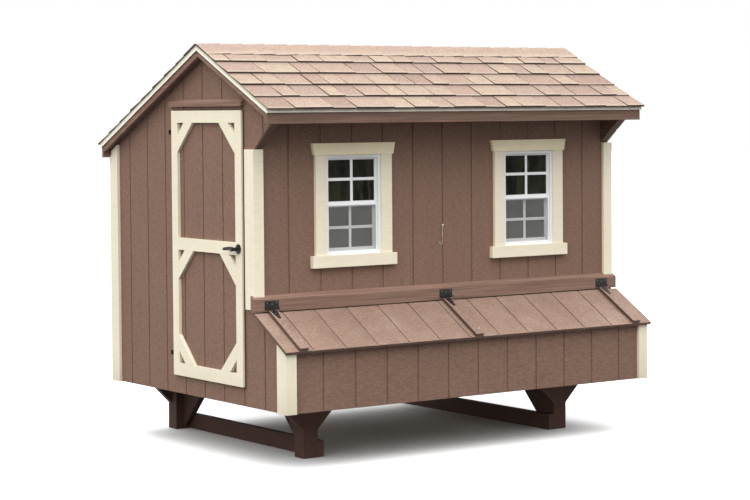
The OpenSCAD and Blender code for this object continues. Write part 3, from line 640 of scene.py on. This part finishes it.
# ---------------------------------------------------------------- shingles
def shingle_slope(name, y_first, direction, n, y_end, seed, node):
    rnd = random.Random(seed)
    bd = Build()
    N = Vector((0, 0, 1))
    tones_a = [0.30, 0.42, 0.52, 0.62, 0.72, 0.80, 0.86]
    tones_b = [0.02, 0.12, 0.22, 0.30, 0.95, 1.0]
    for k in range(n):
        yb = y_first + direction * COURSE * k
        y_next = yb + direction * COURSE if k < n - 1 else y_end
        run = abs(y_next - yb)
        over = 0.028 if k < n - 1 else 0.0
        # random tab widths along the course
        xs = [X0 + rnd.uniform(0, 0.0015)]
        first = rnd.uniform(0.08, 0.24)
        x = X0 + first
        while x < X1 - 0.09:
            xs.append(x)
            x += rnd.choice([0.11, 0.125, 0.14, 0.155, 0.165, 0.18, 0.20, 0.24]) * rnd.uniform(0.94, 1.06)
        xs.append(X1 - rnd.uniform(0, 0.0015))
        high = rnd.random() < 0.5
        for i in range(len(xs) - 1):
            xa, xb = xs[i], xs[i + 1]
            high = (not high) if rnd.random() < 0.78 else high
            thick = 0.0102 if high else 0.0068
            tone = rnd.choice(tones_a if high else tones_b) + rnd.uniform(-0.03, 0.03)
            if rnd.random() < 0.25:
                tone = rnd.uniform(0.1, 0.9)
            ga = 0.0027 if i else 0.0
            gb = 0.0027 if i < len(xs) - 2 else 0.0
            slant = rnd.uniform(-0.006, 0.006)
            cols = max(2, int((xb - xa) / 0.055) + 1)
            drop = rnd.uniform(-0.0016, 0.0014)
            lift = rnd.uniform(-0.0004, 0.0006)
            sd = k * 3.3 + seed

            def row(y, h, frac):
                pts = []
                for j in range(cols):
                    u = j / (cols - 1)
                    xx = xa + ga + (xb - xa - ga - gb) * u
                    # tab sides lean a little
                    if 0 < i:
                        xx += slant * frac * (1 - u) * 0.8
                    yy = y
                    if frac < 0.15:
                        yy = y - direction * (drop * 0.0 + wob(xx, sd, 0.0011) * (1 - frac))
                    yy = min(yy, y_end) if direction > 0 else max(yy, y_end)
                    pts.append(B(xx, yy, T(yy) + h + wob(xx, sd + 1.1, 0.0006) * (1 - frac)))
                return pts

            hb = 0.0011 + thick + lift            # height of the lip over the deck
            hn = 0.0026 if high else 0.0018       # height where the next course starts
            ends = [(0.0, hb - 0.0010, 0.0), (0.0014, hb, 0.012), (run * 0.35, hb - (hb - hn) * 0.35, 0.35),
                    (run * 0.7, hb - (hb - hn) * 0.7, 0.7), (run, hn, 1.0)]
            if over:
                ends.append((run + over, hn - 0.0004, 1.0))
            top = [row(yb + direction * s, h, f) for s, h, f in ends]
            bot = [row(yb + direction * s, min(0.0007 + 0.0009 * (1 - f), h - 0.0006), f) for s, h, f in ends]
            if direction < 0:
                top = [list(reversed(r)) for r in top]
                bot = [list(reversed(r)) for r in bot]
            bd.slab(top, bot, max(0.0, min(1.0, tone)), [f for _, _, f in ends])
    o = make(name, bd.v, bd.f, "shingle", "house", replaces=(node,),
             attrs={"tone": ("FACE", bd.tone), "cut": ("FACE", bd.cut), "up": ("POINT", bd.up)})
    return o


shingle_slope("roof_shingles_front", -0.246, 1, 5, 0.4705, 11, "shingles_front")
shingle_slope("roof_shingles_back", 1.588, -1, 9, 0.4715, 23, "shingles_back")


def ridge_caps():
    rnd = random.Random(5)
    bd = Build()
    step = 0.143
    x = X1
    i = 0
    while x > X0 + 0.05:
        xa = max(X0, x - step - 0.030) if x - step > X0 + 0.05 else X0   # hidden end under the next piece
        xe = x                                 # lip, facing the far end
        last = xa <= X0
        tone = 0.48 + rnd.uniform(-0.08, 0.10)
        hl, hh = 0.0130 + rnd.uniform(-0.0004, 0.0004), 0.0088
        if last:
            hh = 0.0100
        cols = [(xe, hl), (xe - 0.002, hl + 0.0004), ((xe + xa) * 0.5, (hl + hh) / 2), (xa, hh)]
        dep = 0.126 + rnd.uniform(-0.0018, 0.0012)
        depb = 0.126 + rnd.uniform(-0.0018, 0.0012)
        prof = [-dep, -dep + 0.0015, -dep * 0.6, -0.020, -0.008, 0.0, 0.008, 0.020, depb * 0.6, depb - 0.0015, depb]
        tops, bots = [], []
        for pi, dy in enumerate(prof):
            rt, rb = [], []
            for xx, h in cols:
                y = RIDGE_Y + dy + (wob(xx, 3.0, 0.0012) if abs(dy) > 0.1 else 0.0)
                zz = T(y)
                if abs(dy) < 0.015:            # rounded over the ridge
                    zz = T(RIDGE_Y + 0.012) + (0.012 ** 2 - dy ** 2) * 16
                edge = 0.0012 if pi in (0, len(prof) - 1) else 0.0
                rt.append(B(xx, y, zz + h - edge))
                rb.append(B(xx, y, zz + h - 0.0036))
            tops.append(rt)
            bots.append(rb)
        tops = [list(reversed(r)) for r in tops]
        bots = [list(reversed(r)) for r in bots]
        bd.slab(tops, bots, max(0.0, min(1.0, tone)), [0.0, 0.012] + [0.2] * (len(prof) - 4) + [0.012, 0.0])
        x -= step
        i += 1
    make("roof_ridge_caps", bd.v, bd.f, "shingle", "house", replaces=("ridge_cap",),
         attrs={"tone": ("FACE", bd.tone), "cut": ("FACE", bd.cut), "up": ("POINT", bd.up)})


ridge_caps()


# ---------------------------------------------------------------- underlay seen between the tabs
def underlay():
    bd = Build()
    for ya, yb in ((-0.232, 0.4704), (0.4716, 1.574)):
        top = [[B(x, y, T(y) + 0.0010) for x in (X0 + 0.003, X1 - 0.003)] for y in (ya, yb)]
        bot = [[B(x, y, T(y) + 0.0003) for x in (X0 + 0.003, X1 - 0.003)] for y in (ya, yb)]
        bd.slab(top, bot, 0.0, [0, 1])
    m = Mat("roof_underlay")
    n = m.noise((300, 300, 300), 3, 0.6)
    m.color(m.mix(m.ramp(n, 0.3, 0.7), lin(40, 30, 26), lin(62, 48, 42)))
    m.rough(0.95)
    m.normal(m.bump(n, 0.0006, 0.6))
    M["felt"] = m.m
    make("roof_underlay_felt", bd.v, bd.f, "felt", "house")


underlay()


# ---------------------------------------------------------------- swept and turned shapes
def lathe(profile, centre, axis, n=48):
    """profile is [(distance along axis, radius)], closed at both ends."""
    axis = Vector(axis).normalized()
    a = axis.orthogonal().normalized()
    b = axis.cross(a)
    v, f = [], []
    for d, r in profile:
        for i in range(n):
            t = 2 * math.pi * i / n
            v.append(centre + axis * d + (a * math.cos(t) + b * math.sin(t)) * max(r, 1e-5))
    m = len(profile)
    for k in range(m - 1):
        for i in range(n):
            j = (i + 1) % n
            f.append((k * n + i, k * n + j, (k + 1) * n + j, (k + 1) * n + i))
    f.append(tuple(reversed(range(n))))
    f.append(tuple((m - 1) * n + i for i in range(n)))
    return v, f


def sweep(path, rads, up=Vector((0, 0, 1)), n=24):
    """path points, rads [(half width across, half height along up)]: a closed tube of ellipses."""
    v, f = [], []
    for i, p in enumerate(path):
        t = (path[min(i + 1, len(path) - 1)] - path[max(i - 1, 0)]).normalized()
        s = t.cross(up).normalized()
        u = s.cross(t).normalized()
        for k in range(n):
            a = 2 * math.pi * k / n
            # squarish ellipse
            ca, sa = math.cos(a), math.sin(a)
            e = 0.82
            cx = math.copysign(abs(ca) ** e, ca)
            sx = math.copysign(abs(sa) ** e, sa)
            v.append(p + s * cx * rads[i][0] + u * sx * rads[i][1])
    m = len(path)
    for k in range(m - 1):
        for i in range(n):
            j = (i + 1) % n
            f.append((k * n + i, k * n + j, (k + 1) * n + j, (k + 1) * n + i))
    f.append(tuple(reversed(range(n))))
    f.append(tuple((m - 1) * n + i for i in range(n)))
    return v, f


def join(*vf):
    v, f = [], []
    for a, b in vf:
        k = len(v)
        v += list(a)
        f += [tuple(i + k for i in t) for t in b]
    return v, f


def fix_normals(o):
    import bmesh
    bm = bmesh.new()
    bm.from_mesh(o.data)
    bmesh.ops.recalc_face_normals(bm, faces=bm.faces)
    bm.to_mesh(o.data)
    bm.free()


def smooth_by_angle(o, deg=35):
    o.data.polygons.foreach_set("use_smooth", [True] * len(o.data.polygons))
    try:
        o.data.set_sharp_from_angle(angle=math.radians(deg))
    except Exception:
        pass


# door lever: neck, curved lever and spindle
ly, lz = 0.132, 1.130
neck = lathe([(0.0, 0.0115), (0.002, 0.0120), (0.010, 0.0098), (0.026, 0.0092), (0.034, 0.0105), (0.040, 0.0118), (0.0405, 0.0)],
             B(-0.0262, ly, lz), (-1, 0, 0))
path, rads = [], []
for i in range(17):
    u = i / 16
    y = ly - 0.010 + 0.108 * u
    x = -0.0600 + 0.004 * math.sin(u * math.pi) + 0.0035 * u
    z = lz + 0.0035 * math.sin(u * math.pi * 1.0) + 0.001 - 0.004 * u
    w = 0.0052 + 0.0030 * (1 - u) ** 1.5
    h = 0.0078 + 0.0046 * (1 - u) ** 1.3
    if i == 0:
        w, h = w * 0.55, h * 0.62
    if i == 16:
        w, h = w * 0.45, h * 0.5
    if i == 15:
        w, h = w * 0.86, h * 0.88
    path.append(B(x, y, z))
    rads.append((w, h))
blade = sweep(path, rads)
spin = lathe([(0.0, 0.0052), (0.0005, 0.0055), (0.086, 0.0055), (0.0865, 0.0)], B(0.055, ly, lz), (-1, 0, 0))
v, f = join(neck, blade, spin)
lever = make("door_lever_handle", v, f, "black", "lever", replaces=("door_lever",))
fix_normals(lever)
smooth_by_angle(lever, 40)

# rose with a turned step
rose = lathe([(0.0, 0.0258), (0.0015, 0.0262), (0.0038, 0.0258), (0.0052, 0.0235), (0.0058, 0.0170), (0.0069, 0.0150), (0.0069, 0.0062)],
             B(-0.0190, ly, lz), (-1, 0, 0), 64)
vr, fr_ = rose
fr_ = fr_[:-2]                                  # open in the middle, where the spindle passes
nn = 64
# inner wall back to the door face
k0 = len(vr)
for i in range(nn):
    vr.append(vr[6 * nn + i] + Vector((0.0069, 0, 0)))
for i in range(nn):
    j = (i + 1) % nn
    fr_.append((6 * nn + i, 6 * nn + j, k0 + j, k0 + i))
    fr_.append((k0 + i, k0 + j, j, i))
o = make("door_rose_plate", vr, fr_, "black", "door", replaces=("door_rose",))
fix_normals(o)
smooth_by_angle(o, 30)


# ---------------------------------------------------------------- screws
def screw_head(c, axis, r, rot=0.0):
    """A domed head with a cross recess, as one closed mesh."""
    axis = Vector(axis).normalized()
    a = axis.orthogonal().normalized()
    b = axis.cross(a)
    n = 24
    rings = [(0.0, r), (r * 0.18, r * 0.98), (r * 0.42, r * 0.72), (r * 0.50, r * 0.46)]
    v, f = [], []
    for d, q in rings:
        for i in range(n):
            t = 2 * math.pi * i / n + rot
            v.append(c + axis * d + (a * math.cos(t) + b * math.sin(t)) * q)
    m = len(rings)
    for k in range(m - 1):
        for i in range(n):
            j = (i + 1) % n
            f.append((k * n + i, k * n + j, (k + 1) * n + j, (k + 1) * n + i))
    # cross recess: every other point of an inner ring is sunk
    base = len(v)
    for i in range(n):
        t = 2 * math.pi * i / n + rot
        arm = (i % 6) in (0, 1, 5)
        q = r * 0.40 if arm else r * 0.16
        v.append(c + axis * (r * 0.50) + (a * math.cos(t) + b * math.sin(t)) * q)
    for i in range(n):
        j = (i + 1) % n
        f.append(((m - 1) * n + i, (m - 1) * n + j, base + j, base + i))
    low = len(v)
    for i in range(n):
        v.append(v[base + i] - axis * (r * 0.30) - (v[base + i] - (c + axis * (r * 0.50))) * 0.35)
    for i in range(n):
        j = (i + 1) % n
        f.append((base + i, base + j, low + j, low + i))
    f.append(tuple(low + i for i in range(n)))
    f.append(tuple(reversed(range(n))))
    return v, f


ANG = math.radians(30.5)
SD = Vector((0, -math.cos(ANG), -math.sin(ANG)))     # down the lid
ND = Vector((0, -math.sin(ANG), math.cos(ANG)))      # out of the lid


def LP(x, s, n):
    return B(x, -0.038, 0.8024) + SD * s + ND * n


HX = [0.076, 1.217, 2.354]
parts = []
for x in HX:
    for dx in (-0.030, 0.0, 0.030):
        parts.append(screw_head(B(x + dx, -0.0400, 0.8535 if dx else 0.846), (0, -1, 0), 0.0036, x * 9 + dx * 40))
v, f = join(*parts)
o = make("hinge_plate_screws", v, f, "screw", "house")
fix_normals(o)
parts = []
for x in HX:
    for s_, dx in ((0.012, -0.012), (0.012, 0.012), (0.038, 0.0), (0.064, 0.0)):
        parts.append(screw_head(LP(x + dx, s_, 0.0215), ND, 0.0033, x * 7 + s_ * 50))
v, f = join(*parts)
o = make("hinge_strap_screws", v, f, "screw", "lid")
fix_normals(o)
parts = []
for z in (1.742, 0.520):
    for dy, dz in ((0.852, 0.006), (0.870, -0.006), (0.870, 0.006), (0.852, -0.006)):
        parts.append(screw_head(B(-0.0020, dy, z + dz), (-1, 0, 0), 0.0026, dy * 31))
v, f = join(*parts)
o = make("door_hinge_screws", v, f, "hinge", "house")
fix_normals(o)


# ---------------------------------------------------------------- floor, lights, camera
def floor():
    me = bpy.data.meshes.new("studio_floor")
    s = 60.0
    me.from_pydata([(-s, -s, -0.0005), (s, -s, -0.0005), (s, s, -0.0005), (-s, s, -0.0005)], [], [(0, 1, 2, 3)])
    o = bpy.data.objects.new("studio_floor", me)
    bpy.context.scene.collection.objects.link(o)
    m = Mat("pale_floor")
    n = m.noise((0.6, 0.6, 0.6), 3, 0.5)
    m.color(m.mix(m.ramp(n, 0.3, 0.7), (0.86, 0.86, 0.86), (0.90, 0.90, 0.90)))
    m.rough(0.9)
    m.p.inputs["Specular IOR Level"].default_value = 0.1
    me.materials.append(m.m)
    o.visible_diffuse = False


floor()

w = bpy.data.worlds.new("studio")
bpy.context.scene.world = w
w.use_nodes = True
# an overcast sky: white at the horizon, brighter overhead, dim from below
_t = w.node_tree
_bg = _t.nodes["Background"]
_bg.inputs[0].default_value = (1.0, 1.0, 1.0, 1)
_tc = _t.nodes.new("ShaderNodeTexCoord")
_sp = _t.nodes.new("ShaderNodeSeparateXYZ")
_t.links.new(_tc.outputs["Generated"], _sp.inputs[0])


def _wramp(a, b, lo, hi):
    n = _t.nodes.new("ShaderNodeMapRange")
    n.clamp = True
    _t.links.new(_sp.outputs[2], n.inputs[0])
    for i, v in enumerate((a, b, lo, hi)):
        n.inputs[i + 1].default_value = v
    return n.outputs[0]


_ad = _t.nodes.new("ShaderNodeMath")
_ad.operation = "ADD"
_t.links.new(_wramp(-0.07, -0.04, 0.02, 1.0), _ad.inputs[0])
_dip = _t.nodes.new("ShaderNodeMath")
_dip.operation = "SUBTRACT"
_t.links.new(_wramp(0.18, 0.75, 0.0, 2.15), _dip.inputs[0])
_t.links.new(_wramp(0.10, 0.18, 0.0, 0.60), _dip.inputs[1])
_t.links.new(_dip.outputs[0], _ad.inputs[1])
_t.links.new(_ad.outputs[0], _bg.inputs[1])


def area(name, loc, target, size, power, color=(1, 1, 1), size_y=None):
    l = bpy.data.lights.new(name, "AREA")
    l.shape = "RECTANGLE"
    l.size, l.size_y = size, size_y or size
    l.energy = power
    l.color = color
    o = bpy.data.objects.new(name, l)
    o.location = loc
    o.rotation_mode = "QUATERNION"
    o.rotation_quaternion = (Vector(target) - Vector(loc)).to_track_quat("-Z", "Y")
    bpy.context.scene.collection.objects.link(o)
    return o


area("sky_panel", (-1.5, -2.0, 9.0), (0, 0, 1.0), 9.0, 420)
area("key_panel", (-11.0, -6.0, 6.0), (0, 0, 1.0), 5.0, 330, (1.0, 0.975, 0.94))

cam = bpy.data.cameras.new("view")
co = bpy.data.objects.new("view", cam)
bpy.context.scene.collection.objects.link(co)
yaw, pit, rol = math.radians(34.95), math.radians(-2.07), math.radians(-0.45)
fwd = Vector((math.sin(yaw) * math.cos(pit), math.cos(yaw) * math.cos(pit), math.sin(pit)))
right = Vector((math.cos(yaw), -math.sin(yaw), 0))
up = right.cross(fwd)
r2 = right * math.cos(rol) + up * math.sin(rol)
u2 = up * math.cos(rol) - right * math.sin(rol)
mw = Matrix(((r2.x, u2.x, -fwd.x, 0), (r2.y, u2.y, -fwd.y, 0), (r2.z, u2.z, -fwd.z, 0), (0, 0, 0, 1)))
mw.translation = B(-5.9354, -9.4665, 1.8570)
co.matrix_world = mw
cam.sensor_width = 36.0
cam.lens = 36.0 * 2143.92 / 750
cam.shift_x = (375 - 361.5) / 750
cam.shift_y = (187.36 - 250) / 750
cam.dof.use_dof = False
cam.clip_end = 200
sc = bpy.context.scene
sc.camera = co
sc.view_settings.view_transform = "Standard"
sc.view_settings.look = "None"
